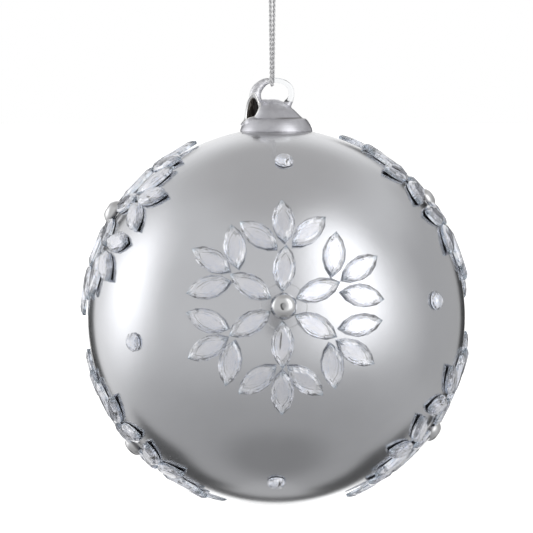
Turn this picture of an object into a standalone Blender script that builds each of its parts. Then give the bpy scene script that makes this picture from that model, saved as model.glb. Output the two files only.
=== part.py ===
"""Glass ball ornament: a hollow silvered glass ball with a fused crown and glass
hook, six snowflakes of marquise stones, eight round stones, and a thread cord.

Metres, +Z up, -Y is the front. The origin is the hanging point: the inside of
the top of the eye in the cord.
"""

import math

import bmesh
import bpy
from mathutils import Matrix, Vector

MM = 0.001
GAP = 0.3 * MM

# Ball
BALL_RADIUS = 60.0 * MM
BALL_WALL = 0.8 * MM
BALL_NECK_RADIUS = 5.0 * MM
BALL_STEPS = 36
BALL_OUTER_RINGS = 16
BALL_INNER_RINGS = 16

# Hanging: the cord hangs on the Z axis, and the ball's own axis is a little to its right
DROP = 55.0 * MM
BAR_HEIGHT = 74.95 * MM
BAR_OFFSET = 1.3 * MM
BALL_CENTRE = Vector((BAR_OFFSET, 0.0, -DROP - BAR_HEIGHT))

# Crown: (radius, height above the ball's centre), in millimetres
CROWN_OUTSIDE = (
    (0.0, 69.05), (1.8, 68.9), (3.2, 68.4), (4.6, 67.7), (5.8, 66.8), (6.9, 65.7),
    (7.6, 64.4), (8.1, 63.1), (9.5, 62.8), (10.4, 61.8), (11.3, 60.2), (11.45, 59.25),
)
CROWN_INSIDE = ((10.2, 59.6), (9.0, 61.0), (6.6, 62.4), (4.6, 64.9), (2.4, 66.9), (0.0, 67.6))
CROWN_STEPS = 24
# Over its collar the dome leans towards the neck, by this much at its top
DOME_SHIFT = 1.2 * MM
DOME_LOW, DOME_HIGH = 63.0 * MM, 67.0 * MM

# Vent neck and glass hook: (x, height above the ball's centre, radius), in millimetres
NECK_ROUTE = (
    (-6.9, 61.6, 3.5), (-6.85, 62.8, 3.1), (-6.8, 64.4, 2.85), (-6.8, 66.2, 2.6), (-6.75, 68.1, 2.25),
    (-6.7, 70.0, 1.9),
)
HOOK_ROUTE = (
    (-6.67, 70.36, 1.87), (-6.6, 71.0, 1.78), (-6.05, 72.2, 1.64), (-5.1, 73.4, 1.46), (-3.8, 74.4, 1.2),
    (-2.4, 74.85, 0.95), (-1.3, 74.95, 0.82), (0.6, 74.95, 0.8), (2.7, 74.3, 0.85),
    (4.3, 72.9, 0.92), (4.8, 71.3, 0.92), (4.75, 69.9, 0.95), (4.45, 68.95, 1.1), (3.87, 68.12, 1.2),
)
VENT_PLACE = (-8.1, -1.9, 66.1)
VENT_RADII = (1.9, 2.4, 4.5)
# About its own X, its own Y and Z: it leans with the neck, and faces the front left
VENT_TURN = (math.radians(12), math.radians(8), math.radians(60))

# Cord
CORD_WIDTH = 0.95 * MM
LEG_START = 3.0 * MM
KNOT_PLACE = Vector((0.0, 0.0, -16.0 * MM))
KNOT_RADII = (2.2 * MM, 1.9 * MM, 2.0 * MM)
# One half of the loop, from under the hook's bar up the front: (x, y, height above the bar)
LOOP_ROUTE = (
    (0.0, 0.0, -1.65), (-0.17, -1.25, -1.15), (-0.3, -1.75, 0.2), (-0.33, -1.5, 1.8),
    (-0.36, -1.05, 3.2), (-0.4, -0.7, 5.4), (-0.43, -0.56, 8.5), (-0.48, -0.48, 12.0),
    (-0.56, -0.38, 17.0), (-0.63, -0.27, 23.0), (-0.7, -0.12, 30.0), (-0.75, 0.0, 36.7),
)
# One half of the eye, from the knot to its top: (x, height)
EYE_ROUTE = ((0.6, -13.7), (1.5, -11.6), (2.9, -8.4), (3.5, -4.9), (2.8, -1.7), (1.5, 0.05), (0.0, 0.5))

# Stones
MARQUISE_LENGTH = 14.9 * MM
MARQUISE_WIDTH = 7.2 * MM
MARQUISE_HEIGHT = 2.1 * MM
GIRDLE = 0.6 * MM
TABLE_ACROSS = 0.52
TABLE_ALONG = 0.68
CABOCHON_RADIUS = 3.9 * MM
CABOCHON_HEIGHT = 4.0 * MM
ROUND_RADIUS = 3.0 * MM
ROUND_HEIGHT = 2.3 * MM
ROUND_TABLE = 0.58
ROUND_GIRDLE = 0.8 * MM

# A snowflake's plan on the ball, as arc lengths from its centre
INNER_REACH = 11.75 * MM
TIP_REACH = 26.85 * MM
SIDE_REACH = 22.6 * MM
SIDE_OFFSET = 7.7 * MM
SIDE_TURN = 49.0
GLUE_RING = 5.9 * MM
GLUE_WIDTH = 2.6 * MM
GLUE_DOT_REACH = 19.2 * MM
GLUE_DOT_RADIUS = 2.7 * MM
GLUE_LOW, GLUE_HIGH = 0.15 * MM, 1.1 * MM

# The front snowflake was laid by hand: each arm leans, and its fan turns, by some degrees
FRONT_LEANS = (1, 4, 1, 1, 2, 3)
FRONT_TURNS = (-3, -6, 2, 0, 1, 2)

# (longitude from the front, latitude, roll), in degrees
FRONT_SNOWFLAKE = (0, 7.2, 0)
SNOWFLAKES = {
    "upper_left": (-90, 33, 2),
    "upper_right": (101, 37, 7),
    "lower_left": (-97, -42.5, 1),
    "lower_right": (89, -36.5, 9),
    "back": (180, 0, 0),
}
ROUND_STONES = {
    "front_top": (2, 57),
    "front_left": (-49, -4),
    "front_right": (53, 8),
    "front_bottom": (-2, -53),
    "back_top": (180, 57),
    "back_left": (-132, -3),
    "back_right": (132, 2),
    "back_bottom": (179, -55),
}


# Scene


def clear_scene():
    for obj in list(bpy.data.objects):
        bpy.data.objects.remove(obj, do_unlink=True)


def new_collection(name):
    collection = bpy.data.collections.new(name)
    bpy.context.scene.collection.children.link(collection)
    return collection


def material(name, colour, roughness, metallic=0.0, transmission=0.0):
    made = bpy.data.materials.new(name)
    made.use_nodes = True
    shader = made.node_tree.nodes["Principled BSDF"]
    shader.inputs["Base Color"].default_value = (*colour, 1.0)
    shader.inputs["Roughness"].default_value = roughness
    shader.inputs["Metallic"].default_value = metallic
    shader.inputs["Transmission Weight"].default_value = transmission
    made.diffuse_color = (*colour, 1.0)
    return made


def add_object(name, data, collection, finish):
    obj = bpy.data.objects.new(name, data)
    collection.objects.link(obj)
    data.materials.clear()
    data.materials.append(finish)
    return obj


def hang(obj, holder):
    """Parents an object without moving it."""
    obj.parent = holder
    obj.matrix_parent_inverse = holder.matrix_world.inverted()


def pivot(name, place):
    """An empty on a joint's axis, which the pieces that move about it hang from."""
    holder = bpy.data.objects.new(name, None)
    bpy.context.scene.collection.objects.link(holder)
    holder.location = place
    bpy.context.view_layer.update()
    return holder


# Meshes and modifiers


def evaluated_mesh(obj):
    bpy.context.view_layer.update()
    graph = bpy.context.evaluated_depsgraph_get()
    return bpy.data.meshes.new_from_object(obj.evaluated_get(graph))


def mesh_of(shape, name):
    mesh = bpy.data.meshes.new(name)
    shape.to_mesh(mesh)
    shape.free()
    return mesh


def turned_mesh(name, profile, steps):
    """A profile of (radius, height) turned round Z, with hard edges kept sharp."""
    mesh = bpy.data.meshes.new(name)
    points = [(radius, 0.0, height) for radius, height in profile]
    mesh.from_pydata(points, [(i, i + 1) for i in range(len(points) - 1)], [])
    turned = bpy.data.objects.new(name, mesh)
    bpy.context.scene.collection.objects.link(turned)
    screw = turned.modifiers.new("Turn", "SCREW")
    screw.steps = screw.render_steps = steps
    screw.use_merge_vertices = True
    screw.merge_threshold = 0.00001
    made = evaluated_mesh(turned)
    bpy.data.objects.remove(turned)
    made.shade_smooth()
    made.set_sharp_from_angle(angle=math.radians(40))
    return made


def ball_mesh(name, segments, rings):
    shape = bmesh.new()
    bmesh.ops.create_uvsphere(shape, u_segments=segments, v_segments=rings, radius=1.0)
    mesh = mesh_of(shape, name)
    mesh.shade_smooth()
    return mesh


def smooth_curve(points, samples):
    """A Catmull-Rom curve through the points, with some samples on each span."""
    ends = [points[0] * 2 - points[1], *points, points[-1] * 2 - points[-2]]
    curve = []
    for a, b, c, d in zip(ends, ends[1:], ends[2:], ends[3:]):
        for step in range(samples):
            t = step / samples
            bend = (2 * a - 5 * b + 4 * c - d) * t**2 + (3 * b - a - 3 * c + d) * t**3
            curve.append(b + 0.5 * ((c - a) * t + bend))
    return [*curve, points[-1]]


def tube(name, points, radii, collection, finish):
    """A round rod or cord along a line of points, closed at both ends."""
    curve = bpy.data.curves.new(name, "CURVE")
    curve.dimensions = "3D"
    curve.bevel_depth = 1.0
    curve.bevel_resolution = 2
    curve.use_fill_caps = True
    spline = curve.splines.new("POLY")
    spline.points.add(len(points) - 1)
    for point, place, radius in zip(spline.points, points, radii):
        point.co = (*place, 1.0)
        point.radius = radius
    return add_object(name, curve, collection, finish)


def welded_cutter(obj, collection, finish):
    """A mesh made from a curve, with its caps welded on, for a Boolean."""
    shape = bmesh.new()
    shape.from_mesh(evaluated_mesh(obj))
    bmesh.ops.remove_doubles(shape, verts=shape.verts, dist=0.000001)
    made = add_object(f"{obj.name}_cutter", mesh_of(shape, obj.name), collection, finish)
    made.matrix_world = obj.matrix_world
    bpy.data.objects.remove(obj)
    return hidden(made)


def hidden(obj):
    obj.hide_render = True
    obj.display_type = "WIRE"
    return obj


def boolean(obj, name, operation):
    modifier = obj.modifiers.new(name, "BOOLEAN")
    modifier.operation = operation
    modifier.solver = "EXACT"
    return modifier


# Places on the ball


def on_ball(longitude, latitude, roll=0.0):
    """The frame of a place: X to its right and Y up as seen from outside, Z outwards."""
    turn = Matrix.Rotation(math.radians(longitude), 4, "Z")
    lift = Matrix.Rotation(math.radians(90 - latitude), 4, "X")
    spin = Matrix.Rotation(math.radians(-roll), 4, "Z")
    return Matrix.Translation(BALL_CENTRE) @ turn @ lift @ spin


def walk(frame, along=0.0, aside=0.0, bearing=0.0, turn=0.0):
    """The frame of a stone laid at an arc distance from a place, on a bearing, and turned."""
    angle = math.radians(bearing)
    east = along * math.sin(angle) + aside * math.cos(angle)
    north = along * math.cos(angle) - aside * math.sin(angle)
    arc = math.hypot(east, north) / BALL_RADIUS
    roll = Matrix.Rotation(arc, 4, Vector((-north, east, 0.0)))
    spin = Matrix.Rotation(math.radians(-turn), 4, "Z")
    return frame @ roll @ spin @ Matrix.Translation((0.0, 0.0, BALL_RADIUS + GAP))


def snowflake_plan(leans=(0,) * 6, turns=(0,) * 6):
    """Each stone's name, then its place along and beside its arm, its bearing and its turn."""
    for arm, (lean, fan) in enumerate(zip(leans, turns), start=1):
        bearing = 60 * (arm - 1) + lean
        yield f"inner_{arm}", INNER_REACH, 0.0, bearing, bearing
        yield f"tip_{arm}", TIP_REACH, 0.0, bearing, bearing + fan
        for side, sign in (("left", -1), ("right", 1)):
            turn = bearing + fan + sign * SIDE_TURN
            yield f"{side}_{arm}", SIDE_REACH, sign * SIDE_OFFSET, bearing, turn


# Stones


def marquise_mesh(name, sides, girdle):
    """A flat-backed marquise: a girdle, if any, then sloping facets up to a flat table."""
    half, wide = MARQUISE_LENGTH / 2, MARQUISE_WIDTH / 2
    arc = (half**2 + wide**2) / (2 * wide)
    crown = MARQUISE_HEIGHT - girdle
    place = Matrix.Translation((0.0, 0.0, girdle + crown / 2))
    shape = bmesh.new()
    bmesh.ops.create_cone(
        shape, cap_ends=True, segments=sides, radius1=1.0, radius2=0.5, depth=crown, matrix=place
    )
    if girdle:
        base = min(shape.faces, key=lambda face: face.calc_center_median().z)
        sunk = bmesh.ops.extrude_discrete_faces(shape, faces=[base])["faces"][0]
        bmesh.ops.translate(shape, verts=sunk.verts, vec=(0.0, 0.0, -girdle))
    for vert in shape.verts:
        on_table = vert.co.z > girdle + crown / 2
        reach = math.hypot(vert.co.x, vert.co.y)
        x, y = vert.co.x / reach, vert.co.y / reach
        across = math.sqrt(arc**2 - (half * y) ** 2) - (arc - wide)
        side = math.copysign(across, x) if abs(x) > 0.001 else 0.0
        vert.co.x = side * (TABLE_ACROSS if on_table else 1.0)
        vert.co.y = half * y * (TABLE_ALONG if on_table else 1.0)
    bmesh.ops.remove_doubles(shape, verts=shape.verts, dist=0.000001)
    bmesh.ops.recalc_face_normals(shape, faces=shape.faces)
    return mesh_of(shape, name)


def cabochon_mesh(steps=14, rings=4):
    """A domed mirror stone with a flat back."""
    angles = [math.pi / 2 * ring / rings for ring in range(rings + 1)]
    dome = [(CABOCHON_RADIUS * math.sin(a), CABOCHON_HEIGHT * math.cos(a)) for a in angles]
    return turned_mesh("cabochon", [*dome, (0.0, 0.0)], steps)


def round_stone_mesh(steps=10):
    outside = [(0.0, ROUND_HEIGHT), (ROUND_TABLE * ROUND_RADIUS, ROUND_HEIGHT)]
    edge = [(ROUND_RADIUS, ROUND_GIRDLE), (ROUND_RADIUS, 0.0), (0.0, 0.0)]
    return turned_mesh("round_stone", [*outside, *edge], steps)


def lay(name, mesh, frame, parts, finish, holder):
    stone = add_object(name, mesh, parts, finish)
    stone.matrix_world = frame
    hang(stone, holder)
    return stone


def front_snowflake(parts, finish, holder):
    mesh = marquise_mesh("marquise", 12, GIRDLE)
    frame = on_ball(*FRONT_SNOWFLAKE)
    for name, *place in snowflake_plan(FRONT_LEANS, FRONT_TURNS):
        lay(f"front_stone_{name}", mesh, walk(frame, *place), parts, finish, holder)


def glue_ring_mesh(name):
    inside, outside = GLUE_RING - GLUE_WIDTH / 2, GLUE_RING + GLUE_WIDTH / 2
    low, high = GLUE_LOW, GLUE_HIGH
    section = [(inside, low), (inside, high), (outside, high), (outside, low), (inside, low)]
    return turned_mesh(name, section, 12)


def glue_dot_mesh(name):
    top = [(0.0, GLUE_HIGH), (GLUE_DOT_RADIUS, GLUE_HIGH)]
    base = [(GLUE_DOT_RADIUS, GLUE_LOW), (0.0, GLUE_LOW)]
    return turned_mesh(name, [*top, *base], 6)


def joined_snowflake(name, frame, parts, cutters, finish, holder):
    """A whole snowflake as one solid: stones, joined by the glue between their tips."""
    pieces = bpy.data.collections.new(f"{name}_pieces")
    cutters.children.link(pieces)
    marquise = marquise_mesh(f"{name}_marquise", 8, 0.0)
    for stone, *place in snowflake_plan():
        piece = hidden(add_object(f"{name}_{stone}", marquise, pieces, finish))
        piece.matrix_world = walk(frame, *place)
    dot = glue_dot_mesh(f"{name}_dot")
    for arm in range(6):
        piece = hidden(add_object(f"{name}_dot_{arm + 1}", dot, pieces, finish))
        piece.matrix_world = walk(frame, GLUE_DOT_REACH, 0.0, 60 * arm, 60 * arm)
    ring = glue_ring_mesh(f"{name}_ring")
    joined = lay(f"{name}_snowflake", ring, walk(frame), parts, finish, holder)
    union = boolean(joined, "Stones", "UNION")
    union.operand_type = "COLLECTION"
    union.collection = pieces


def stones(parts, cutters, holder):
    faceted = material("clear_stone", (0.82, 0.84, 0.88), 0.08, 0.3)
    mirrored = material("mirror_stone", (0.62, 0.62, 0.64), 0.15, 1.0)
    cabochon = cabochon_mesh()
    front = walk(on_ball(*FRONT_SNOWFLAKE))
    front_snowflake(parts, faceted, holder)
    lay("front_cabochon", cabochon, front, parts, mirrored, holder)
    for name, place in SNOWFLAKES.items():
        frame = on_ball(*place)
        joined_snowflake(name, frame, parts, cutters, faceted, holder)
        lay(f"{name}_cabochon", cabochon, walk(frame), parts, mirrored, holder)
    small = round_stone_mesh()
    for name, place in ROUND_STONES.items():
        lay(f"round_stone_{name}", small, walk(on_ball(*place)), parts, faceted, holder)


# Glass


def arc_profile(radius, start, rings):
    """(radius, height) down a sphere, from a polar angle to its bottom, which is on the axis."""
    angles = [start + (math.pi - start) * ring / rings for ring in range(rings)]
    return [*[(radius * math.sin(a), radius * math.cos(a)) for a in angles], (0.0, -radius)]


def glass_ball(parts, finish, holder):
    """A hollow ball, open at the neck under the crown."""
    inner = BALL_RADIUS - BALL_WALL
    inside = arc_profile(inner, math.asin(BALL_NECK_RADIUS / inner), BALL_INNER_RINGS)
    outside = arc_profile(BALL_RADIUS, math.asin(BALL_NECK_RADIUS / BALL_RADIUS), BALL_OUTER_RINGS)
    mesh = turned_mesh("glass_ball", [*reversed(inside), *outside], BALL_STEPS)
    lay("glass_ball", mesh, Matrix.Translation(BALL_CENTRE), parts, finish, holder)


def rod(name, route, parts, finish):
    """A glass rod in the XZ plane, from (x, height above the ball's centre, radius)."""
    points = smooth_curve([Vector(point) for point in route], 2)
    places = [BALL_CENTRE + Vector((x, 0.0, z)) * MM for x, z, _ in points]
    return tube(name, places, [radius * MM for _, _, radius in points], parts, finish)


def glass_crown(parts, cutters, finish, holder):
    """The fused cap: a rounded collar, a dome, and a neck beside it with a vent in its side."""
    profile = [(radius * MM, height * MM) for radius, height in (*CROWN_OUTSIDE, *CROWN_INSIDE)]
    mesh = turned_mesh("glass_crown", profile, CROWN_STEPS)
    for vertex in mesh.vertices:
        up = (vertex.co.z - DOME_LOW) / (DOME_HIGH - DOME_LOW)
        vertex.co.x -= DOME_SHIFT * min(max(up, 0.0), 1.0)
    crown = lay("glass_crown", mesh, Matrix.Translation(BALL_CENTRE), parts, finish, holder)
    neck = rod("crown_neck", NECK_ROUTE, cutters, finish)
    boolean(crown, "Neck", "UNION").object = welded_cutter(neck, cutters, finish)
    vent = hidden(add_object("crown_vent", ball_mesh("crown_vent", 12, 8), cutters, finish))
    vent.location = BALL_CENTRE + Vector(VENT_PLACE) * MM
    vent.rotation_euler = VENT_TURN
    vent.scale = [radius * MM for radius in VENT_RADII]
    boolean(crown, "Vent", "DIFFERENCE").object = vent


def glass_hook(parts, finish, holder):
    """The rod drawn over from the neck to the dome, whose top is the bar that the cord holds."""
    hang(rod("glass_hook", HOOK_ROUTE, parts, finish), holder)


# Cord


def loop_points():
    """The loop's front half, from under the bar to the knot."""
    bar = Vector((0.0, 0.0, -DROP))
    return smooth_curve([Vector(point) * MM + bar for point in LOOP_ROUTE], 2)


def mirrored(points, x=-1, y=-1):
    return [Vector((point.x * x, point.y * y, point.z)) for point in points]


def cord_tube(name, points, parts, finish):
    return tube(name, points, [CORD_WIDTH / 2] * len(points), parts, finish)


def cord(parts, finish, knot_axis):
    """The bend round the hook's bar, the two legs, the knot and the eye above it."""
    loop = loop_points()
    bend = [point for point in loop if point.z <= LEG_START - DROP]
    cord_tube("cord_bight", [*reversed(bend), *mirrored(bend[1:])], parts, finish)
    leg = [point for point in loop if point.z > LEG_START - DROP + GAP]
    hang(cord_tube("cord_leg_left", leg, parts, finish), knot_axis)
    hang(cord_tube("cord_leg_right", mirrored(leg), parts, finish), knot_axis)
    eye = smooth_curve([Vector((x, 0.0, height)) * MM for x, height in EYE_ROUTE], 2)
    cord_tube("cord_eye", [*eye, *mirrored(reversed(eye[:-1]))], parts, finish)
    knot = add_object("cord_knot", ball_mesh("cord_knot", 12, 8), parts, finish)
    knot.location = KNOT_PLACE
    knot.scale = KNOT_RADII


def main():
    clear_scene()
    parts = new_collection("glass_ball_ornament")
    cutters = new_collection("cutters")
    cutters.hide_render = True
    silver = material("silvered_glass", (0.6, 0.6, 0.61), 0.28, 1.0)
    painted = material("silvered_crown", (0.55, 0.55, 0.56), 0.22, 1.0)
    clear = material("clear_glass", (0.95, 0.96, 0.97), 0.03, 0.0, 1.0)
    thread = material("silver_thread", (0.75, 0.75, 0.77), 0.4, 0.8)

    bar_axis = pivot("hook_bar_axis", (0.0, 0.0, -DROP))
    glass_ball(parts, silver, bar_axis)
    glass_crown(parts, cutters, painted, bar_axis)
    glass_hook(parts, clear, bar_axis)
    stones(parts, cutters, bar_axis)
    cord(parts, thread, pivot("knot_axis", KNOT_PLACE))


main()
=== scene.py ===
"""Looks for the glass ball ornament: satin silvered glass, clear stones, a glass hook and a
twisted metallic cord, hung in a soft white studio. Metres, +Z up."""

import math
import random

import bmesh
import bpy
from mathutils import Matrix, Vector

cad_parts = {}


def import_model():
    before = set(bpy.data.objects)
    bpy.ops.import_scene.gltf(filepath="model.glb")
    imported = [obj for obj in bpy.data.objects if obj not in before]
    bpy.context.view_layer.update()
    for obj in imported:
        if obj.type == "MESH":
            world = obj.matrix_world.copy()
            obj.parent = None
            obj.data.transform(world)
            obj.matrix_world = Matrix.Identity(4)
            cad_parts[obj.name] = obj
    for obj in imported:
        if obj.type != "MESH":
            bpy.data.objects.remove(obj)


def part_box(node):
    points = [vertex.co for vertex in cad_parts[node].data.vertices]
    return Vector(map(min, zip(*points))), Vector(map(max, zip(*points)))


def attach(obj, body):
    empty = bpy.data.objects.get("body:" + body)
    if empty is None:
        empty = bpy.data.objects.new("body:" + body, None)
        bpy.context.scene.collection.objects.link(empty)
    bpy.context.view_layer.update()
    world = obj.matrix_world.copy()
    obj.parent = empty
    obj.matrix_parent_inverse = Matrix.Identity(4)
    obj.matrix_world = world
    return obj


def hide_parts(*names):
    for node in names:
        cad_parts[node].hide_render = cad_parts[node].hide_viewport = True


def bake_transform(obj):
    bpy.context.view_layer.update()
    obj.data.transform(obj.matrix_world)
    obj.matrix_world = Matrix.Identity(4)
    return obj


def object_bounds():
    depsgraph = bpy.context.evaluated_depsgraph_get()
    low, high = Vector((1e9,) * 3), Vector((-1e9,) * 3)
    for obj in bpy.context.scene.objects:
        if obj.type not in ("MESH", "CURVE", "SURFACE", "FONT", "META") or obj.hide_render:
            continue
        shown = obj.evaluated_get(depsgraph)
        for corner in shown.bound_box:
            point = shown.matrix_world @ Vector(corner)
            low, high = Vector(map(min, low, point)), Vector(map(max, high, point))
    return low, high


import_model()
CAD_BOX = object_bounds()

MM = 0.001
BALL_RADIUS = 60.0 * MM
BALL_LOW, BALL_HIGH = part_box("glass_ball")
CENTRE = Vector((
    (BALL_LOW.x + BALL_HIGH.x) / 2,
    (BALL_LOW.y + BALL_HIGH.y) / 2,
    BALL_LOW.z + BALL_RADIUS,
))
# The middle of the hook's bar, where the cord goes round it
BAR = Vector((0.0, 0.0, CENTRE.z + 74.95 * MM))


# Camera: a long lens, a little above the middle of the ball and to its left

AZIMUTH, ELEVATION = math.radians(-2.0), math.radians(3.5)
DISTANCE = 1.2
VIEW_WIDTH = 169.5 * MM
SENSOR_WIDTH = 36.0
# How far right of and below the picture's middle the ball's middle lies, in mm
BALL_RIGHT, BALL_BELOW = 3.1, 15.9
BACK = Vector((
    math.sin(AZIMUTH) * math.cos(ELEVATION),
    -math.cos(AZIMUTH) * math.cos(ELEVATION),
    math.sin(ELEVATION),
))
camera = bpy.data.objects.new("camera", bpy.data.cameras.new("camera"))
bpy.context.scene.collection.objects.link(camera)
camera.data.sensor_width = SENSOR_WIDTH
camera.data.lens = SENSOR_WIDTH * DISTANCE / VIEW_WIDTH
camera.rotation_mode = "QUATERNION"
camera.rotation_quaternion = (-BACK).to_track_quat("-Z", "Y")
RIGHT = camera.rotation_quaternion @ Vector((1.0, 0.0, 0.0))
UP = camera.rotation_quaternion @ Vector((0.0, 1.0, 0.0))
camera.location = CENTRE - RIGHT * BALL_RIGHT * MM + UP * BALL_BELOW * MM + BACK * DISTANCE
camera.data.clip_start, camera.data.clip_end = 0.05, 50.0
bpy.context.scene.camera = camera
bpy.context.scene.view_settings.view_transform = "Standard"
# Light goes round inside a cut stone several times before it comes out
bpy.context.scene.cycles.glossy_bounces = 6


# Node helpers


class Nodes:
    """A short way to write shader nodes."""

    def __init__(self, tree):
        self.tree = tree
        self.nodes = tree.nodes
        self.links = tree.links

    def put(self, socket, value):
        if isinstance(value, bpy.types.NodeSocket):
            self.links.new(value, socket)
        elif value is not None:
            socket.default_value = value

    def math(self, operation, a, b=None):
        node = self.nodes.new("ShaderNodeMath")
        node.operation = operation
        self.put(node.inputs[0], a)
        self.put(node.inputs[1], b)
        return node.outputs[0]

    def vector(self, operation, a, b):
        node = self.nodes.new("ShaderNodeVectorMath")
        node.operation = operation
        self.put(node.inputs[0], a)
        self.put(node.inputs[1], b)
        return node.outputs[0]

    def length(self, a, b):
        """The length of the hypotenuse over a and b."""
        squares = self.math("ADD", self.math("POWER", a, 2.0), self.math("POWER", b, 2.0))
        return self.math("SQRT", squares)

    def ramp(self, value, low, high, to_low=0.0, to_high=1.0, smooth=True):
        """From to_low to to_high, as the value goes from low to high."""
        node = self.nodes.new("ShaderNodeMapRange")
        node.interpolation_type = "SMOOTHSTEP" if smooth else "LINEAR"
        node.clamp = True
        for name, number in (
            ("Value", value), ("From Min", low), ("From Max", high),
            ("To Min", to_low), ("To Max", to_high),
        ):
            self.put(node.inputs[name], number)
        return node.outputs[0]

    def mix(self, factor, a, b):
        node = self.nodes.new("ShaderNodeMix")
        node.data_type = "RGBA"
        self.put(node.inputs["Factor"], factor)
        self.put(node.inputs[6], a)
        self.put(node.inputs[7], b)
        return node.outputs[2]

    def noise(self, scale, detail=2.0, roughness=0.5, where=None, distortion=0.0):
        node = self.nodes.new("ShaderNodeTexNoise")
        if where is not None:
            self.put(node.inputs["Vector"], where)
        self.put(node.inputs["Scale"], scale)
        self.put(node.inputs["Detail"], detail)
        self.put(node.inputs["Roughness"], roughness)
        self.put(node.inputs["Distortion"], distortion)
        return node.outputs["Fac"]

    def bump(self, height, distance, strength=1.0, normal=None):
        node = self.nodes.new("ShaderNodeBump")
        self.put(node.inputs["Height"], height)
        self.put(node.inputs["Distance"], distance)
        self.put(node.inputs["Strength"], strength)
        if normal is not None:
            self.put(node.inputs["Normal"], normal)
        return node.outputs[0]

    def place(self):
        """Where the surface is, in the piece's own frame."""
        return self.nodes.new("ShaderNodeTexCoord").outputs["Object"]

    def xyz(self, vector):
        node = self.nodes.new("ShaderNodeSeparateXYZ")
        self.put(node.inputs[0], vector)
        return node.outputs


def grey(level):
    return (level, level, level, 1.0)


def new_material(name, **values):
    """A material, its nodes, and its shader's sockets, some of them set to the values."""
    material = bpy.data.materials.new(name)
    material.use_nodes = True
    nodes = Nodes(material.node_tree)
    shader = material.node_tree.nodes["Principled BSDF"]
    for key, value in values.items():
        shader.inputs[key.replace("_", " ")].default_value = value
    return material, nodes, shader.inputs


# Studio: a pale tent with a broad soft key at the right and a tall soft box at the left, and
# behind the ornament, where the stones and the ball's rim reflect it, bright panels and flags

DEG = math.pi / 180
# (side, azimuth, elevation, half width, half height, softness, brightness), angles in degrees;
# azimuths are to the right of straight in front or straight behind
PANELS = (
    ("front", -2, 4, 4, 10, 5, 0.10),
    ("back", 56, 0, 30, 30, 24, 0.42),
    ("back", -50, 2, 24, 22, 26, 0.82),
    ("back", 0, -82, 180, 12, 16, 0.25),
    ("back", 0, -40, 50, 9.5, 8, 0.08),
    ("back", 0, -52, 13, 11, 10, 0.46),
    ("back", 0, 17, 24, 19, 30, 0.92),
    ("back", 0, -10, 16, 17, 8, 1.25),
    ("back", 21, 0, 10, 22, 6, 0.03),
    ("back", -21, 0, 10, 22, 6, 0.05),
    ("front", 45, 22, 21, 31, 44, 1.8),
    ("front", -106, 11, 15, 19, 40, 1.8),
)
# How white the light is that comes out of a stone towards the front, after its reflections
STONE_FIRE = 0.25
FLOOR_SIZE, FLOOR_DROP = 20.0, 0.35


def world():
    """What the ornament reflects. A ray from the camera sees a white backdrop instead."""
    made = bpy.data.worlds.new("studio")
    bpy.context.scene.world = made
    made.use_nodes = True
    n = Nodes(made.node_tree)
    direction = n.nodes.new("ShaderNodeTexCoord").outputs["Generated"]
    x, y, z = n.xyz(direction)
    elevation = n.math("ARCSINE", z)
    azimuths = {
        "front": n.math("ARCTAN2", x, n.math("MULTIPLY", y, -1.0)),
        "back": n.math("ARCTAN2", x, y),
    }
    low = n.ramp(z, -0.95, 0.0, 0.36, 0.60)
    behind = n.math("MAXIMUM", y, 0.0)
    over = n.math("ADD", z, n.math("MULTIPLY", behind, 0.3))
    ceiling = (0.46, 0.455, 0.45, 1.0)
    shade = n.mix(n.ramp(over, 0.75, 1.0), low, ceiling)
    for side, azimuth, height, wide, tall, soft, bright in PANELS:
        across = n.math("ABSOLUTE", n.math("SUBTRACT", azimuths[side], azimuth * DEG))
        up = n.math("ABSOLUTE", n.math("SUBTRACT", elevation, height * DEG))
        mask = n.math(
            "MULTIPLY",
            n.ramp(across, (wide - soft / 2) * DEG, (wide + soft / 2) * DEG, 1.0, 0.0),
            n.ramp(up, (tall - soft / 2) * DEG, (tall + soft / 2) * DEG, 1.0, 0.0),
        )
        shade = n.mix(mask, shade, grey(bright))
    path = n.nodes.new("ShaderNodeLightPath").outputs
    # Behind clear glass lies the white backdrop. Light that comes out of a stone has been round
    # many facets, so it is all white towards the back, and partly white towards the front.
    fire = n.ramp(y, -0.1, 0.3, STONE_FIRE, 1.0)
    mixed = n.ramp(path["Glossy Depth"], 0.4, 0.6, 1.0, fire)
    through = n.math("MULTIPLY", path["Is Transmission Ray"], mixed)
    seen = n.math("MAXIMUM", path["Is Camera Ray"], through)
    output = n.nodes["Background"]
    n.put(output.inputs["Color"], n.mix(seen, shade, grey(1.0)))
    output.inputs["Strength"].default_value = 1.0


def studio():
    """The world, and a pale floor far under the hanging ornament."""
    world()
    mesh = bpy.data.meshes.new("studio_floor")
    shape = bmesh.new()
    bmesh.ops.create_grid(shape, x_segments=1, y_segments=1, size=FLOOR_SIZE)
    shape.to_mesh(mesh)
    shape.free()
    floor = bpy.data.objects.new("studio_floor", mesh)
    bpy.context.scene.collection.objects.link(floor)
    floor.location = (0.0, 0.0, CAD_BOX[0].z - FLOOR_DROP)
    material, _, _ = new_material(
        "floor_white", Base_Color=grey(0.85), Roughness=0.9,
        Emission_Color=grey(1.0), Emission_Strength=0.75,
    )
    mesh.materials.append(material)
    floor.visible_glossy = False
    floor.visible_diffuse = False
    floor.visible_transmission = False


studio()


# Shape helpers

# Two faces of a turned piece that meet at a greater angle keep a crisp edge
SHARP_ANGLE = math.radians(35)


def add_piece(name, mesh, *materials):
    for material in materials:
        mesh.materials.append(material)
    piece = bpy.data.objects.new(name, mesh)
    bpy.context.scene.collection.objects.link(piece)
    return piece


def mesh_from(name, points, faces, smooth=True):
    mesh = bpy.data.meshes.new(name)
    mesh.from_pydata([tuple(point) for point in points], [], faces)
    if smooth:
        mesh.shade_smooth()
    mesh.update()
    return mesh


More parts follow.
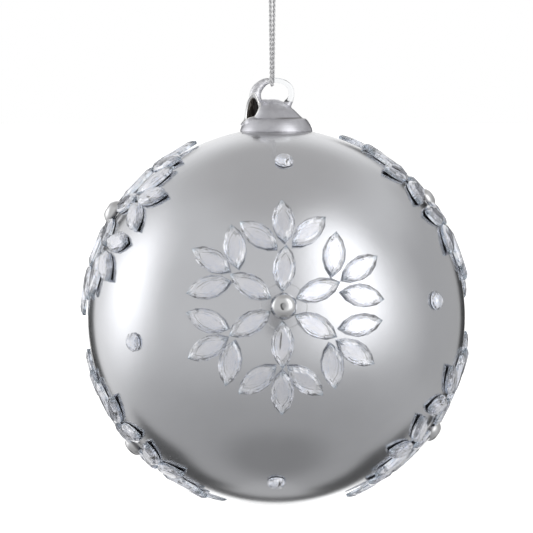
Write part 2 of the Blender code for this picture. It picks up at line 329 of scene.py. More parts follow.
def circle(radius, count):
    angles = [2 * math.pi * i / count for i in range(count)]
    return [(radius * math.cos(a), radius * math.sin(a)) for a in angles]


def turned(name, profile, steps):
    """A closed profile of (radius, height), from axis to axis, turned round Z."""
    points, rings = [], []
    for radius, height in profile:
        if radius < 1e-7:
            rings.append([len(points)] * steps)
            points.append(Vector((0.0, 0.0, height)))
            continue
        rings.append(list(range(len(points), len(points) + steps)))
        points.extend(Vector((x, y, height)) for x, y in circle(radius, steps))
    faces = []
    for upper, lower in zip(rings, rings[1:]):
        for step in range(steps):
            after = (step + 1) % steps
            loop = [upper[step], lower[step], lower[after], upper[after]]
            faces.append(list(dict.fromkeys(loop)))
    mesh = mesh_from(name, points, [face for face in faces if len(face) > 2])
    mesh.set_sharp_from_angle(angle=SHARP_ANGLE)
    return mesh


def smooth_curve(points, samples):
    """A Catmull-Rom curve through the points."""
    ends = [points[0] * 2 - points[1], *points, points[-1] * 2 - points[-2]]
    curve = []
    for a, b, c, d in zip(ends, ends[1:], ends[2:], ends[3:]):
        for step in range(samples):
            t = step / samples
            bend = (2 * a - 5 * b + 4 * c - d) * t**2 + (3 * b - a - 3 * c + d) * t**3
            curve.append(b + 0.5 * ((c - a) * t + bend))
    return [*curve, points[-1]]


def even_steps(points, step):
    """The same line with points at even distances, and its length."""
    total = sum((b - a).length for a, b in zip(points, points[1:]))
    count = max(2, round(total / step))
    made, walked, at = [], 0.0, 0
    for distance in [total * i / count for i in range(count + 1)]:
        while at < len(points) - 2 and walked + (points[at + 1] - points[at]).length < distance:
            walked += (points[at + 1] - points[at]).length
            at += 1
        span = (points[at + 1] - points[at]).length
        made.append(points[at].lerp(points[at + 1], min(1.0, (distance - walked) / span)))
    return made, total


def sweep(name, path, section, closed=False):
    """A tube along a path. section(i) gives the points of the i-th ring, in its own plane."""
    tangents = []
    for i in range(len(path)):
        before = path[i - 1] if closed or i else path[i]
        after = path[(i + 1) % len(path)] if closed or i + 1 < len(path) else path[i]
        tangents.append((after - before).normalized())
    side = tangents[0].orthogonal().normalized()
    points, rings = [], []
    for i, (place, tangent) in enumerate(zip(path, tangents)):
        side = (side - tangent * side.dot(tangent)).normalized()
        other = tangent.cross(side)
        ring = section(i)
        rings.append(list(range(len(points), len(points) + len(ring))))
        points.extend(place + side * u + other * v for u, v in ring)
    faces = []
    for lower, upper in zip(rings, rings[1:] + ([rings[0]] if closed else [])):
        for j in range(len(lower)):
            k = (j + 1) % len(lower)
            faces.append([lower[j], lower[k], upper[k], upper[j]])
    if not closed:
        faces.append(list(reversed(rings[0])))
        faces.append(rings[-1])
    return mesh_from(name, points, faces)


# Cord: two strands twisted together, looped round the hook's bar and knotted above

CORD_WIDTH = 0.95 * MM
# The length in which the strands go once round each other
LAY = 3.0 * MM
CORD_STEP, CORD_SIDES = 0.16 * MM, 18
# Each strand's radius, and how far off the cord's axis it lies, in widths of the cord
STRAND_RADIUS, STRAND_OFFSET = 0.31, 0.22
# One half of the loop, from under the bar up the front: (x, y, height above the bar), in mm
LOOP_ROUTE = (
    (0.0, 0.0, -1.5), (-0.2, -1.1, -1.05), (-0.36, -1.5, 0.2), (-0.4, -1.2, 1.8),
    (-0.4, -0.75, 3.2), (-0.4, -0.42, 5.4), (-0.43, -0.3, 8.5), (-0.46, -0.22, 12.0),
    (-0.52, -0.1, 17.0), (-0.58, -0.03, 23.0), (-0.65, 0.0, 30.0), (-0.65, 0.0, 38.0),
)
# One half of the eye, from the knot to its top: (x, height), in mm
EYE_ROUTE = (
    (0.45, -14.6), (1.5, -11.6), (2.9, -8.4), (3.5, -4.9), (2.8, -1.7), (1.5, 0.05), (0.0, 0.5),
)
# The knot's line is a trefoil: its half width, half depth, half height and middle, in mm
KNOT_WIDE, KNOT_DEEP, KNOT_TALL, KNOT_MIDDLE = 0.42, 0.40, 1.08, -16.0
KNOT_STRAND = 0.5 * MM


def twisted(name, path, total, middle=None):
    """Two strands laid round each other. On a loop, the twist turns over at its middle."""
    strand, offset = STRAND_RADIUS * CORD_WIDTH, STRAND_OFFSET * CORD_WIDTH
    step = total / (len(path) - 1)

    def section(i):
        along = i * step
        turn = 2 * math.pi * (along if middle is None else abs(along - middle)) / LAY
        ring = []
        for j in range(CORD_SIDES):
            angle = 2 * math.pi * j / CORD_SIDES
            half_chord = math.sqrt(max(strand**2 - (offset * math.sin(angle)) ** 2, 0.0))
            reach = offset * abs(math.cos(angle)) + half_chord
            ring.append((reach * math.cos(angle + turn), reach * math.sin(angle + turn)))
        return ring

    mesh = sweep(name, path, section)
    layer = mesh.uv_layers.new(name="UVMap")
    for polygon in mesh.polygons:
        for loop in polygon.loop_indices:
            vertex = mesh.loops[loop].vertex_index
            ring, j = divmod(vertex, CORD_SIDES)
            layer.data[loop].uv = (ring * step / LAY, j / CORD_SIDES)
    return mesh


def thread_material():
    """Bright metallised thread, with painted shade in the grooves between its strands."""
    material, n, inputs = new_material("silver_thread", Metallic=0.55, Roughness=0.34)
    uv = n.nodes.new("ShaderNodeTexCoord").outputs["UV"]
    u, v, _ = n.xyz(uv)
    crest = n.math("ABSOLUTE", n.math("COSINE", n.math("MULTIPLY", v, 2 * math.pi)))
    # Fine filaments wound across each strand
    wound = n.math("ADD", n.math("MULTIPLY", u, 9.0), n.math("MULTIPLY", v, 4.0))
    filaments = n.math("SINE", n.math("MULTIPLY", wound, 2 * math.pi))
    speckle = n.noise(9000.0, 2.0, 0.6, n.place())
    glint = n.ramp(speckle, 0.40, 0.62)
    strand = n.mix(glint, (0.72, 0.72, 0.74, 1.0), grey(1.0))
    # Painted shade: the grooves between the strands are near black
    groove_shade = (0.06, 0.06, 0.065, 1.0)
    n.put(inputs["Base Color"], n.mix(n.ramp(crest, 0.14, 0.42), groove_shade, strand))
    n.put(inputs["Roughness"], n.ramp(speckle, 0.35, 0.65, 0.5, 0.2))
    relief = n.math("ADD", filaments, n.math("MULTIPLY", speckle, 1.5))
    n.put(inputs["Normal"], n.bump(relief, 0.00004, 0.6))
    return material


def cord():
    thread = thread_material()
    front = smooth_curve([Vector(point) * MM + BAR for point in LOOP_ROUTE], samples=6)
    behind = [Vector((-point.x, -point.y, point.z)) for point in front[1:]]
    path, total = even_steps([*reversed(front), *behind], CORD_STEP)
    piece = add_piece("hanging_cord", twisted("hanging_cord", path, total, total / 2), thread)
    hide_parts("cord_leg_left", "cord_leg_right", "cord_bight")
    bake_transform(piece)
    eye_half = smooth_curve([Vector((x, 0.0, height)) * MM for x, height in EYE_ROUTE], samples=8)
    eye_other = [Vector((-point.x, 0.0, point.z)) for point in reversed(eye_half[:-1])]
    eye_path, eye_total = even_steps([*eye_half, *eye_other], CORD_STEP)
    eye = add_piece("cord_loop_eye", twisted("cord_loop_eye", eye_path, eye_total), thread)
    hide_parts("cord_eye")
    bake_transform(eye)
    knot = add_piece("cord_overhand_knot", knot_mesh(), thread)
    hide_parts("cord_knot")
    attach(knot, "knot")


def knot_mesh():
    """The overhand knot: the cord pulled tight on itself. Its section is oval, and it twists."""
    path, count, sides = [], 240, 14
    for i in range(count):
        t = 2 * math.pi * i / count
        path.append(Vector((
            KNOT_WIDE * (math.sin(t) + 2 * math.sin(2 * t)),
            KNOT_DEEP * (math.cos(t) - 2 * math.cos(2 * t)),
            -KNOT_TALL * math.sin(3 * t) + KNOT_MIDDLE,
        )) * MM)
    flatness, twist = 0.13, 0.42

    def section(i):
        ring = []
        for j in range(sides):
            angle = 2 * math.pi * j / sides
            reach = KNOT_STRAND * (1 + flatness * math.cos(2 * angle - i * twist))
            ring.append((reach * math.cos(angle), reach * math.sin(angle)))
        return ring

    return sweep("cord_overhand_knot", path, section, closed=True)


cord()


# Ball

WALL = 0.8 * MM
NECK_RADIUS = 5.0 * MM
BALL_RINGS, BALL_STEPS = 72, 144
# The lacquer's colour, its roughness and the strength of its bumps
SILVER, SATIN, LACQUER = (0.785, 0.795, 0.83), 0.21, 0.25


def silver_material():
    """Silver lacquer: soft mottling, a faint orange-peel bump and fine dust. Under the collar,
    round the neck, the colour is painted darker: painted shade, where the collar is reflected."""
    material, n, inputs = new_material(
        "silvered_glass", Metallic=1.0, IOR=1.5, Coat_Weight=0.9, Coat_Roughness=0.1, Coat_IOR=1.5,
    )
    place = n.place()
    mottle = n.noise(55.0, 3.0, 0.55, place)
    fine = n.noise(900.0, 2.0, 0.5, place)
    grain = n.noise(5200.0, 1.0, 0.5, place)
    dark = tuple(part * 0.97 for part in SILVER)
    silver = n.mix(n.ramp(mottle, 0.35, 0.65), (*dark, 1.0), (*SILVER, 1.0))
    x, y, _ = n.xyz(place)
    from_neck = n.length(x, n.math("ADD", y, 4.0 * MM))
    # Painted shade round the neck: the collar's dark reflection, painted into the colour
    collar_shade = n.ramp(from_neck, 10.6 * MM, 13.2 * MM, 0.72, 0.0)
    rougher = n.ramp(from_neck, 13.0 * MM, 20.0 * MM, 1.3, 1.0)
    n.put(inputs["Base Color"], n.mix(collar_shade, silver, (0.30, 0.29, 0.29, 1.0)))
    satin = n.ramp(mottle, 0.3, 0.7, SATIN * 0.93, SATIN * 1.07)
    dust = n.math("MULTIPLY", n.math("SUBTRACT", grain, 0.5), 0.06)
    n.put(inputs["Roughness"], n.math("MULTIPLY", n.math("ADD", satin, dust), rougher))
    peel = n.bump(fine, 0.00003, LACQUER)
    n.put(inputs["Normal"], n.bump(mottle, 0.0004, LACQUER, peel))
    return material


def ball():
    """A hollow shell that is open at its neck, under the crown."""

    def arc(radius):
        start = math.asin(NECK_RADIUS / radius)
        angles = [start + (math.pi - start) * i / BALL_RINGS for i in range(BALL_RINGS)]
        return [*[(radius * math.sin(a), radius * math.cos(a)) for a in angles], (0.0, -radius)]

    profile = [*reversed(arc(BALL_RADIUS - WALL)), *arc(BALL_RADIUS)]
    piece = add_piece("ball_shell", turned("ball_shell", profile, BALL_STEPS), silver_material())
    piece.location = CENTRE
    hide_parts("glass_ball")
    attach(piece, "ornament")


ball()


# Crown and hook, blown and drawn as one piece of glass, by mm from the ball's centre

# (radius, height) from the dome's top down its outside and back up its inside
CROWN_PROFILE = (
    (0.0, 69.05), (1.0, 69.0), (1.9, 68.85), (3.2, 68.3), (4.4, 67.6), (5.4, 66.85), (6.5, 65.6),
    (7.5, 64.2), (8.3, 63.15), (8.6, 62.98), (9.2, 62.95), (9.65, 62.65), (10.25, 61.85),
    (10.75, 61.05), (11.2, 60.15), (11.5, 59.3), (11.5, 58.72), (10.6, 58.9), (9.3, 60.6),
    (7.6, 61.9), (6.0, 63.2), (4.2, 64.8), (2.2, 66.4), (0.0, 67.2),
)
# Over its collar the dome leans towards the neck, by this much at its top
DOME_SHIFT, DOME_LOW, DOME_HIGH = 1.2 * MM, 63.0 * MM, 67.0 * MM
# (x, height, radius) up the neck, over the bar and down to the dome
NECK_ROUTE = (
    (-7.2, 60.2, 4.3), (-7.0, 61.4, 3.75), (-6.85, 62.8, 3.15), (-6.8, 64.4, 2.85),
    (-6.8, 66.2, 2.6), (-6.75, 68.1, 2.25), (-6.7, 69.8, 1.9), (-6.55, 71.0, 1.76),
    (-6.05, 72.2, 1.64), (-5.1, 73.4, 1.46), (-3.8, 74.4, 1.2), (-2.4, 74.85, 0.95),
    (-1.3, 74.95, 0.82), (0.6, 74.95, 0.8), (2.7, 74.3, 0.85), (4.3, 72.9, 0.92),
    (4.8, 71.3, 0.92), (4.75, 69.9, 0.95), (4.35, 68.8, 1.1), (3.7, 67.8, 1.35), (3.2, 66.9, 1.5),
)
# The same for the neck's inside
HOLLOW_ROUTE = (
    (-6.95, 61.6, 2.75), (-6.85, 63.4, 2.5), (-6.8, 65.8, 2.2), (-6.75, 68.0, 1.75), (-6.7, 69.9, 1.0),
)
# The vent is the hole that a spindle cuts in the neck's side. Round it is a raised lip, as far
# out as the same spindle grown LIP_WIDTH times.
VENT_PLACE, VENT_RADII, VENT_TURN = (-8.35, -2.25, 65.9), (2.0, 2.75, 4.9), (10, 6, 68)
LIP_HEIGHT, LIP_WIDTH = 0.34 * MM, 1.2
# Two swellings, each its place and radii: one joins the neck to the dome, and one joins it to
# the collar below
SWELLINGS = (((-3.6, 0.0, 66.3), (3.9, 3.6, 2.75)), ((-7.4, -1.2, 61.4), (3.1, 4.6, 2.9)))
VOXEL = 0.16 * MM


def round_rod(name, route, grown=0.0):
    """A rod of changing radius, in the plane of the hook."""
    points = smooth_curve([Vector(point) * MM for point in route], samples=8)
    path = [Vector((point.x, 0.0, point.y)) for point in points]
    return sweep(name, path, lambda i: circle(points[i].z + grown, count=28))


def boolean(piece, other, operation):
    modifier = piece.modifiers.new(operation.title(), "BOOLEAN")
    modifier.operation = operation
    modifier.solver = "EXACT"
    modifier.object = other


def apply(piece):
    """Turns the piece's modifiers into its mesh."""
    bpy.context.view_layer.update()
    graph = bpy.context.evaluated_depsgraph_get()
    mesh = bpy.data.meshes.new_from_object(piece.evaluated_get(graph))
    piece.modifiers.clear()
    piece.data = mesh


def spindle_reach(n, place):
    """How far out a place is from the middle of the spindle that cut the vent: 1 on its skin."""
    turned_back = n.nodes.new("ShaderNodeVectorRotate")
    turned_back.rotation_type, turned_back.invert = "EULER_XYZ", True
    turned_back.inputs["Rotation"].default_value = [math.radians(angle) for angle in VENT_TURN]
    turned_back.inputs["Center"].default_value = Vector(VENT_PLACE) * MM
    n.put(turned_back.inputs["Vector"], place)
    moved = n.vector("SUBTRACT", turned_back.outputs[0], tuple(Vector(VENT_PLACE) * MM))
    u, v, w = n.xyz(n.vector("DIVIDE", moved, tuple(radius * MM for radius in VENT_RADII)))
    return n.math("ADD", n.length(u, v), n.math("MULTIPLY", w, w))


def crown_material():
    """Silver paint on the crown, which ends on the hook and leaves the rest of it clear."""
    material, n, inputs = new_material("silvered_crown", Transmission_Weight=1.0, IOR=1.5)
    place = n.place()
    x, y, z = n.xyz(place)
    ragged = n.math("MULTIPLY", n.noise(1100.0, 3.0, 0.65, place), 0.0036)
    along = n.math("ADD", x, ragged)
    on_hook = n.ramp(z, 69.6 * MM, 70.2 * MM)
    clear = n.math("MULTIPLY", n.ramp(along, -1.6 * MM, 0.2 * MM), on_hook)
    foot = n.math("MULTIPLY", n.ramp(x, 2.2 * MM, 2.6 * MM), n.ramp(z, 68.0 * MM, 68.5 * MM))
    bare = n.math("MAXIMUM", clear, foot)
    # The unpainted inside of the neck, by how far off the neck's axis it is
    off_axis = n.length(n.math("ADD", x, 6.8 * MM), y)
    room = n.ramp(z, 61.6 * MM, 70.0 * MM, 3.1 * MM, 1.5 * MM, smooth=False)
    inside = n.math("LESS_THAN", n.math("SUBTRACT", off_axis, room), 0.0)
    inside = n.math("MULTIPLY", inside, n.ramp(z, 70.0 * MM, 70.3 * MM, 1.0, 0.0))
    covered = n.math("SUBTRACT", 1.0, bare)
    n.put(inputs["Metallic"], n.math("MULTIPLY", covered, n.math("SUBTRACT", 1.0, inside)))
    mottle = n.noise(260.0, 3.0, 0.6, place)
    streaks = n.noise(700.0, 3.0, 0.6, n.vector("MULTIPLY", place, (1.0, 1.0, 0.25)))
    # Painted shade: the inside of the neck is near black, with a pale haze towards its left
    inside_shade_and_haze = n.mix(streaks, (0.004, 0.003, 0.003, 1.0), (0.05, 0.035, 0.03, 1.0))
    haze = n.mix(n.ramp(streaks, 0.4, 0.6), (0.10, 0.09, 0.08, 1.0), (0.85, 0.80, 0.74, 1.0))
    inside_shade_and_haze = n.mix(n.ramp(x, -8.5 * MM, -6.7 * MM, 1.0, 0.0), inside_shade_and_haze, haze)
    painted = n.mix(n.ramp(mottle, 0.35, 0.65), (0.62, 0.62, 0.66, 1.0), (0.71, 0.71, 0.75, 1.0))
    blotch = n.math("MULTIPLY", n.ramp(n.noise(1300.0, 3.0, 0.6, place), 0.44, 0.56), on_hook)
    painted = n.mix(blotch, painted, (0.93, 0.93, 0.96, 1.0))
    # Painted shade in the groove between the dome and the collar, on its right
    off_groove = n.math("ABSOLUTE", n.math("SUBTRACT", z, 63.15 * MM))
    groove_shade = n.ramp(off_groove, 0.05 * MM, 0.4 * MM, 0.75, 0.0)
    groove_shade = n.math("MULTIPLY", groove_shade, n.ramp(x, -2.0 * MM, 3.0 * MM))
    painted = n.mix(groove_shade, painted, (0.16, 0.15, 0.15, 1.0))
    # Painted highlight: round the vent's fire-polished lip the colour is painted white
    lip = n.ramp(spindle_reach(n, place), 1.22, 1.42, 1.0, 0.0)
    painted = n.mix(lip, painted, grey(1.0))
    glass = n.mix(bare, painted, (0.97, 0.98, 0.99, 1.0))
    n.put(inputs["Base Color"], n.mix(inside, glass, inside_shade_and_haze))
    n.put(inputs["Transmission Weight"], n.math("SUBTRACT", 1.0, inside))
    satin = n.ramp(mottle, 0.3, 0.7, 0.28, 0.38)
    n.put(inputs["Roughness"], n.math("MULTIPLY", covered, satin))
    n.put(inputs["Normal"], n.bump(mottle, 0.00012, 0.22))
    return material


def ball_of(name, pointed=False):
    """A ball of radius 1, or a spindle that comes to a point at its top and bottom."""
    shape = bmesh.new()
    bmesh.ops.create_uvsphere(shape, u_segments=40, v_segments=28, radius=1.0)
    for vertex in shape.verts if pointed else ():
        narrow = math.sqrt(max(1 - vertex.co.z**2, 0.0))
        vertex.co.x *= narrow
        vertex.co.y *= narrow
    mesh = bpy.data.meshes.new(name)
    shape.to_mesh(mesh)
    shape.free()
    return mesh


def crown():
    """The dome and collar, joined to the neck and hook, then hollowed, vented and fused smooth."""
    profile = [(radius * MM, height * MM) for radius, height in CROWN_PROFILE]
    mesh = turned("crown_and_hook", profile, steps=96)
    for vertex in mesh.vertices:
        up = (vertex.co.z - DOME_LOW) / (DOME_HIGH - DOME_LOW)
        vertex.co.x -= DOME_SHIFT * min(max(up, 0.0), 1.0)
    piece = add_piece("crown_and_hook", mesh)
    rod = add_piece("hook_cutter", round_rod("hook_cutter", NECK_ROUTE))
    hollow = add_piece("hollow_cutter", round_rod("hollow_cutter", HOLLOW_ROUTE))
    vent, around = (add_piece(name, ball_of(name, True)) for name in ("vent_cutter", "lip_shape"))
    for cutter, wider in ((vent, 1.0), (around, LIP_WIDTH)):
        cutter.location = Vector(VENT_PLACE) * MM
        cutter.rotation_euler = [math.radians(angle) for angle in VENT_TURN]
        cutter.scale = [radius * MM * wider for radius in VENT_RADII]
    lip = add_piece("lip", round_rod("lip", NECK_ROUTE, grown=LIP_HEIGHT))
    swellings = []
    for place, radii in SWELLINGS:
        swelling = add_piece("swelling", ball_of("swelling"))
        swelling.location = Vector(place) * MM
        swelling.scale = [radius * MM for radius in radii]
        swellings.append(swelling)
    bpy.context.view_layer.update()
    for swelling in swellings:
        boolean(piece, swelling, "UNION")
    boolean(piece, rod, "UNION")
    boolean(lip, around, "INTERSECT")
    apply(lip)
    boolean(piece, lip, "UNION")
    boolean(piece, hollow, "DIFFERENCE")
    boolean(piece, vent, "DIFFERENCE")
    remesh = piece.modifiers.new("Fuse", "REMESH")
    remesh.mode = "VOXEL"
    remesh.voxel_size = VOXEL
    remesh.use_smooth_shade = True
    soften = piece.modifiers.new("Soften", "SMOOTH")
    soften.factor, soften.iterations = 0.5, 6
    apply(piece)
    for cutter in (rod, hollow, vent, around, lip, *swellings):
        bpy.data.objects.remove(cutter)
    piece.data.materials.clear()
    piece.data.materials.append(crown_material())
    piece.data.shade_smooth()
    piece.location = CENTRE
    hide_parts("glass_crown", "glass_hook")
    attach(piece, "ornament")


crown()


# Stones

# The glue between a stone's back and the ball
GAP = 0.12 * MM
STONE_LENGTH, STONE_WIDTH, STONE_HEIGHT, STONE_GIRDLE = 14.8 * MM, 7.2 * MM, 2.0 * MM, 0.9 * MM
ROUND_WIDTH, ROUND_HEIGHT, ROUND_GIRDLE = 6.0 * MM, 1.9 * MM, 0.6 * MM
# The rings of each cut, from its table out: how long and how wide in parts of the stone's size,
# and how high from its girdle to its top
MARQUISE_STEPS = ((0.66, 0.55, 1.0), (0.86, 0.80, 0.6))
ROUND_STEPS = ((0.46, 0.46, 1.0), (0.78, 0.78, 0.62))
FACETS_ROUND = 10
# The share of the stones outside the front snowflake that show a slit in their foil
GAPS_SEEN = 0.4
WORN_EDGE = 0.1 * MM
# The front snowflake was laid by hand: for each of its arms, clockwise from the top, how far
# along and beside the arm's line its inner, left, tip and right stones lie, and their turns
FRONT_STONES = (
    ((11.5, 0.3, 5), (22.3, -7.4, -52), (26.8, 0.3, -3), (23.5, 8.1, 47)),
    ((11.5, 1.0, 9.5), (21.9, -6.1, -53), (26.9, 1.5, -4.5), (23.1, 9.2, 38)),
    ((11.4, 0.2, -2), (23.6, -7.2, -41), (26.6, 0.9, 1), (22.3, 8.1, 52)),
    ((11.5, 0.3, 0), (22.7, -6.7, -50), (26.5, 0.3, 0), (22.4, 8.0, 53)),
    ((11.4, 0.6, 0), (22.9, -6.7, -48), (26.6, 0.8, 3), (22.3, 8.0, 51)),
    ((11.6, 0.4, 1), (23.0, -6.1, -43), (26.7, 1.7, 2.5), (22.2, 8.7, 51)),
)
# Places on the ball, in degrees: longitude from the front to the right, latitude, and roll
FRONT_SNOWFLAKE = (0, 7.2, 0)
SNOWFLAKES = {
    "upper_left": (-90, 33, 2),
    "upper_right": (101, 37, 7),
    "lower_left": (-97, -42.5, 1),
    "lower_right": (89, -36.5, 9),
    "back": (180, 0, 0),
}
ROUND_STONES = {
    "front_top": (2, 57),
    "front_left": (-49, -4.6),
    "front_right": (53.5, 7.1),
    "front_bottom": (-2, -54),
    "back_top": (180, 57),
    "back_left": (-132, -3),
    "back_right": (132, 2),
    "back_bottom": (179, -55),
}


def on_ball(longitude, latitude, roll=0.0):
    """The frame of a place: X to its right and Y up as seen from outside, Z outwards."""
    turn = Matrix.Rotation(math.radians(longitude), 4, "Z")
    lift = Matrix.Rotation(math.radians(90 - latitude), 4, "X")
    spin = Matrix.Rotation(math.radians(-roll), 4, "Z")
    return Matrix.Translation(CENTRE) @ turn @ lift @ spin


def walk(place, along=0.0, aside=0.0, bearing=0.0, turn=0.0):
    """The frame of a stone: from a place it lies this far along a bearing and aside of it, both
    measured on the ball, and it is turned."""
    angle = math.radians(bearing)
    east = along * math.sin(angle) + aside * math.cos(angle)
    north = along * math.cos(angle) - aside * math.sin(angle)
    arc = math.hypot(east, north) / BALL_RADIUS
    roll = Matrix.Rotation(arc, 4, Vector((-north, east, 0.0)))
    spin = Matrix.Rotation(math.radians(-turn), 4, "Z")
    return place @ roll @ spin @ Matrix.Translation((0.0, 0.0, BALL_RADIUS + GAP))


def vesica(length, width, count, height):
    """Points round a pointed oval at one height, evenly along its two arcs."""
    half, wide = length / 2, width / 2
    radius = (half**2 + wide**2) / (2 * wide)
    span = math.asin(half / radius)
    points = []
    for i in range(count):
        side, step = divmod(i, count / 2)
        angle = span * (1 - 2 * step / (count / 2))
        x = radius * math.cos(angle) - (radius - wide)
        y = radius * math.sin(angle)
        points.append(Vector((-x, -y, height)) if side else Vector((x, y, height)))
    return points


def ellipse(length, width, count, height):
    """Points round an oval at one height."""
    angles = [2 * math.pi * i / count for i in range(count)]
    return [Vector((width / 2 * math.sin(a), length / 2 * math.cos(a), height)) for a in angles]


def faceted(outline, length, width, height, girdle, steps):
    """A flat-backed step-cut stone: a table, a ring of facets for each step, and a girdle."""
    count = FACETS_ROUND
    rings = [
        outline(length * long, width * wide, count, girdle + (height - girdle) * high)
        for long, wide, high in (*steps, (1.0, 1.0, 0.0))
    ]
    rings.append(outline(length * 0.985, width * 0.975, count, 0.0))
    points = [point for ring in rings for point in ring]
    faces = [list(reversed(range(count)))]
    for ring in range(len(rings) - 1):
        for i in range(count):
            a, b = ring * count + i, ring * count + (i + 1) % count
            faces.append([a, b, b + count, a + count])
    faces.append([(len(rings) - 1) * count + i for i in range(count)])
    return points, faces


def stone_mesh(name, points, faces, *materials):
    """A cut stone. Its facets are the first material, its sides and its worn edges the second,
    and its back the third."""
    mesh = mesh_from(name, points, faces, smooth=False)
    shape = bmesh.new()
    shape.from_mesh(mesh)
    bmesh.ops.recalc_face_normals(shape, faces=shape.faces)
    for face in shape.faces:
        face.material_index = 0 if face.normal.z > 0.3 else 2 if face.normal.z < -0.9 else 1
    bmesh.ops.bevel(
        shape, geom=list(shape.edges), offset=WORN_EDGE, segments=2, profile=0.6,
        affect="EDGES", material=1, clamp_overlap=True,
    )
    shape.to_mesh(mesh)
    shape.free()
    for material in materials:
        mesh.materials.append(material)
    return mesh


def pavilion(n, place):
    """The creases of the facets on the foiled back, as they show through the crown's slopes."""
    cells = n.nodes.new("ShaderNodeTexVoronoi")
    cells.feature = "F1"
    n.put(cells.inputs["Vector"], n.vector("MULTIPLY", place, (1.0, 0.45, 0.3)))
    n.put(cells.inputs["Scale"], 620.0)
    z = n.xyz(place)[2]
    slopes = n.ramp(z, STONE_HEIGHT - 0.12 * MM, STONE_HEIGHT - 0.02 * MM, 1.0, 0.12)
    return n.math("MULTIPLY", cells.outputs["Distance"], slopes)


def stone_materials():
    """Clear facets, pale blue worn edges and sides, and the bright foil behind the stones."""
    made = []
    for name, low, high, rough, metal in (
        ("clear_stone", (0.93, 0.94, 0.98, 1.0), (0.985, 0.985, 1.0, 1.0), (0.02, 0.04), 0.3),
        ("clear_stone_edge", (0.80, 0.87, 0.98, 1.0), (0.96, 0.98, 1.0, 1.0), (0.08, 0.12), 0.12),
    ):
        stone, n, inputs = new_material(
            name, Metallic=metal, IOR=1.5, Transmission_Weight=1.0,
            Coat_Weight=1.0, Coat_Roughness=0.02,
        )
        place = n.place()
        _, y, _ = n.xyz(place)
        inner = n.noise(300.0, 2.0, 0.5, place, 0.4)
        colour = n.mix(n.ramp(inner, 0.38, 0.6), low, high)
        tip = n.ramp(n.math("ABSOLUTE", y), 5.0 * MM, 7.2 * MM, 0.0, 0.6)
        n.put(inputs["Base Color"], n.mix(tip, colour, (0.76, 0.89, 1.0, 1.0)))
        n.put(inputs["Roughness"], n.ramp(inner, 0.35, 0.65, *rough))
        n.put(inputs["Normal"], n.bump(pavilion(n, place), 0.0004, 1.0))
        made.append(stone)
    foil, n, inputs = new_material("stone_foil", Metallic=1.0)
    crinkle = n.noise(500.0, 2.0, 0.5, n.place())
    n.put(inputs["Base Color"], n.mix(crinkle, (0.91, 0.92, 0.97, 1.0), (0.98, 0.98, 1.0, 1.0)))
    n.put(inputs["Roughness"], n.ramp(crinkle, 0.35, 0.65, 0.06, 0.12))
    made.append(foil)
    return made


def snowflake_plan(arms):
    """Each stone's name, then its place along and beside its arm, its bearing and its turn."""
    for arm, laid in enumerate(arms, start=1):
        bearing = 60 * (arm - 1)
        for kind, (along, beside, turn) in zip(("inner", "left", "tip", "right"), laid):
            yield f"{kind}_{arm}", along * MM, beside * MM, bearing, bearing + turn


def lay(name, mesh, place, node):
    """Puts a piece on the ball. The node is the CAD solid that it replaces, if any."""
    piece = add_piece(name, mesh)
    piece.matrix_world = place
    if node:
        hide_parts(node)
    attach(piece, "ornament")


def hand_laid(seed):
    """Arms whose stones are each a little out of true."""
    hand = random.Random(seed)

    def stray(value, spread):
        return value + hand.uniform(-spread, spread)

    return [
        (
            (stray(11.5, 0.2), stray(0.3, 0.4), stray(0, 4)),
            (stray(22.7, 0.6), stray(-7.0, 0.5), stray(-50, 5)),
            (stray(26.7, 0.3), stray(0.6, 0.6), stray(0, 4)),
            (stray(22.7, 0.6), stray(8.0, 0.5), stray(50, 5)),
        )
        for _ in range(6)
    ]


def glue_mesh():
    """A thin bead of clear glue that ran out round a cabochon, lying on the ball. Its distance
    from the middle strays a little, and it eases from one stray to the next."""
    hand = random.Random(3)
    mean, thick = 7.0, 0.17 * MM
    waves, steps = 12, 8
    strays = [hand.uniform(-0.25, 0.25) for _ in range(waves)]
    path = []
    for i in range(waves * steps):
        at = i / steps
        low, high = strays[int(at) % waves], strays[(int(at) + 1) % waves]
        ease = (1 - math.cos(math.pi * (at - int(at)))) / 2
        reach = (mean + low + (high - low) * ease) * MM
        angle = 2 * math.pi * i / (waves * steps)
        height = math.sqrt(BALL_RADIUS**2 - reach**2)
        path.append(Vector((reach * math.sin(angle), reach * math.cos(angle), height)))
    ring = circle(thick, count=10)
    material, n, inputs = new_material(
        "clear_glue", Transmission_Weight=1.0, IOR=1.45, Roughness=0.05,
    )
    n.put(inputs["Normal"], n.bump(n.noise(900.0, 2.0, 0.5, n.place()), 0.00005, 0.4))
    mesh = sweep("glue_bead", path, lambda i: ring, closed=True)
    mesh.materials.append(material)
    return mesh


def dome_profile():
    """A cabochon's outline from its top: a domed mirror, a little flat in the middle."""
    radius, steep, steps = 4.1 * MM, 0.9, 28
    height, profile = 0.5 * MM, []
    for i in range(steps, 0, -1):
        reach, inner = (math.sin(math.pi / 2 * step / steps) for step in (i, i - 1))
        profile.append((radius * reach, height))
        middle = (reach + inner) / 2
        flat = math.exp(-((middle / 0.42) ** 3))
        slope = steep * middle / math.sqrt(1 - middle**2) * (1 - flat)
        height += slope * (reach - inner) * radius
    profile.append((0.0, height))
    return [*reversed(profile), (4.12 * MM, 0.4 * MM), (4.08 * MM, 0.0), (0.0, 0.0)]


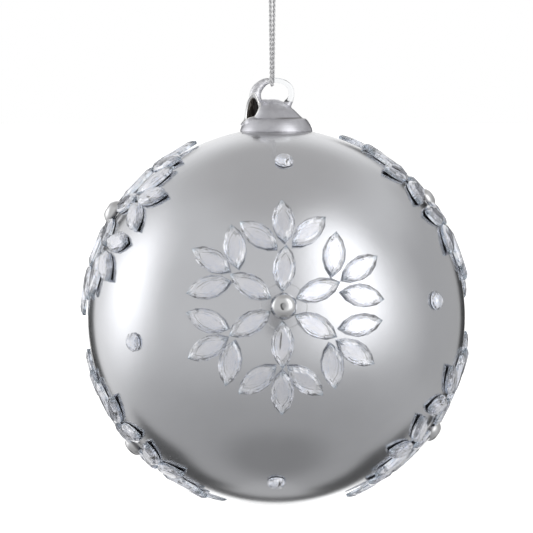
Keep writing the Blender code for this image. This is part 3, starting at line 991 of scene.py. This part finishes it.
def foil_gap_mesh():
    """A slit where the foil has come off behind a stone: a thin dark sliver just over the back."""
    points, half = [], 12
    count = 2 * half
    for height in (0.12, 0.16):
        for i in range(count):
            side, at = (1, i / half) if i < half else (-1, 2 - i / half)
            wide = 0.3 * math.sin(math.pi * at) ** 0.8 * (1 + 0.3 * math.sin(9 * at))
            points.append(Vector((0.35 + 0.5 * at + side * wide, -3.9 + 5.6 * at, height)) * MM)
    faces = [list(reversed(range(count))), list(range(count, 2 * count))]
    for i in range(count):
        after = (i + 1) % count
        faces.append([i, after, after + count, i + count])
    mesh = mesh_from("foil_gap", points, faces, smooth=False)
    material, n, inputs = new_material("bare_back", Roughness=0.6)
    dirt = n.noise(900.0, 2.0, 0.5, n.place())
    n.put(inputs["Base Color"], n.mix(dirt, grey(0.0), (0.03, 0.025, 0.02, 1.0)))
    mesh.materials.append(material)
    return mesh


def snowflakes(materials, gap):
    """The front snowflake, laid stone by stone, and the five others, each one CAD solid."""
    outline = (STONE_LENGTH, STONE_WIDTH, STONE_HEIGHT, STONE_GIRDLE, MARQUISE_STEPS)
    marquise = stone_mesh("marquise", *faceted(vesica, *outline), *materials)
    for name, *place in snowflake_plan(FRONT_STONES):
        on = walk(on_ball(*FRONT_SNOWFLAKE), *place)
        lay(f"marquise_front_{name}", marquise, on, f"front_stone_{name}")
        if name == "inner_4":
            lay("foil_gap", gap, on, None)
    for seed, (flake, where) in enumerate(SNOWFLAKES.items()):
        node = f"{flake}_snowflake"
        hand = random.Random(seed + 40)
        for name, *place in snowflake_plan(hand_laid(seed)):
            on = walk(on_ball(*where), *place)
            lay(f"marquise_{flake}_{name}", marquise, on, node)
            node = None
            if hand.random() < GAPS_SEEN:
                small = Matrix.Diagonal((hand.uniform(0.6, 1.2), hand.uniform(0.35, 0.7), 1.0, 1.0))
                lay(f"foil_gap_{flake}_{name}", gap, on @ small, None)


def round_stones(materials, gap):
    outline = (ROUND_WIDTH, ROUND_WIDTH, ROUND_HEIGHT, ROUND_GIRDLE, ROUND_STEPS)
    mesh = stone_mesh("round_stone", *faceted(ellipse, *outline), *materials)
    short = Matrix.Diagonal((1.1, 0.3, 1.0, 1.0))
    for name, where in ROUND_STONES.items():
        on = walk(on_ball(*where))
        lay(f"round_{name}", mesh, on, f"round_stone_{name}")
        if name.endswith(("top", "bottom")):
            lay(f"foil_gap_{name}", gap, on @ short, None)


def mirror_material():
    """Bright mirror, with painted shade towards its foot, where it meets the ball."""
    mirror, n, inputs = new_material("mirror_stone", Metallic=1.0)
    haze = n.noise(700.0, 2.0, 0.5, n.place())
    chrome = n.mix(haze, (0.77, 0.775, 0.79, 1.0), (0.85, 0.85, 0.86, 1.0))
    # Painted shade: darker towards the foot of the dome
    foot = n.ramp(n.xyz(n.place())[2], 0.6 * MM, 1.7 * MM)
    n.put(inputs["Base Color"], n.mix(foot, (0.20, 0.20, 0.21, 1.0), chrome))
    n.put(inputs["Roughness"], n.ramp(haze, 0.3, 0.7, 0.04, 0.09))
    return mirror


def cabochons():
    """A domed mirror in the middle of each snowflake, with glue round it."""
    glue = glue_mesh()
    cabochon = turned("cabochon", dome_profile(), steps=64)
    cabochon.materials.append(mirror_material())
    for flake, where in {"front": FRONT_SNOWFLAKE, **SNOWFLAKES}.items():
        on = walk(on_ball(*where))
        lay(f"cabochon_{flake}", cabochon, on, f"{flake}_cabochon")
        lay(f"glue_{flake}", glue, on_ball(*where), None)


def stones():
    materials = stone_materials()
    gap = foil_gap_mesh()
    snowflakes(materials, gap)
    round_stones(materials, gap)
    cabochons()


stones()
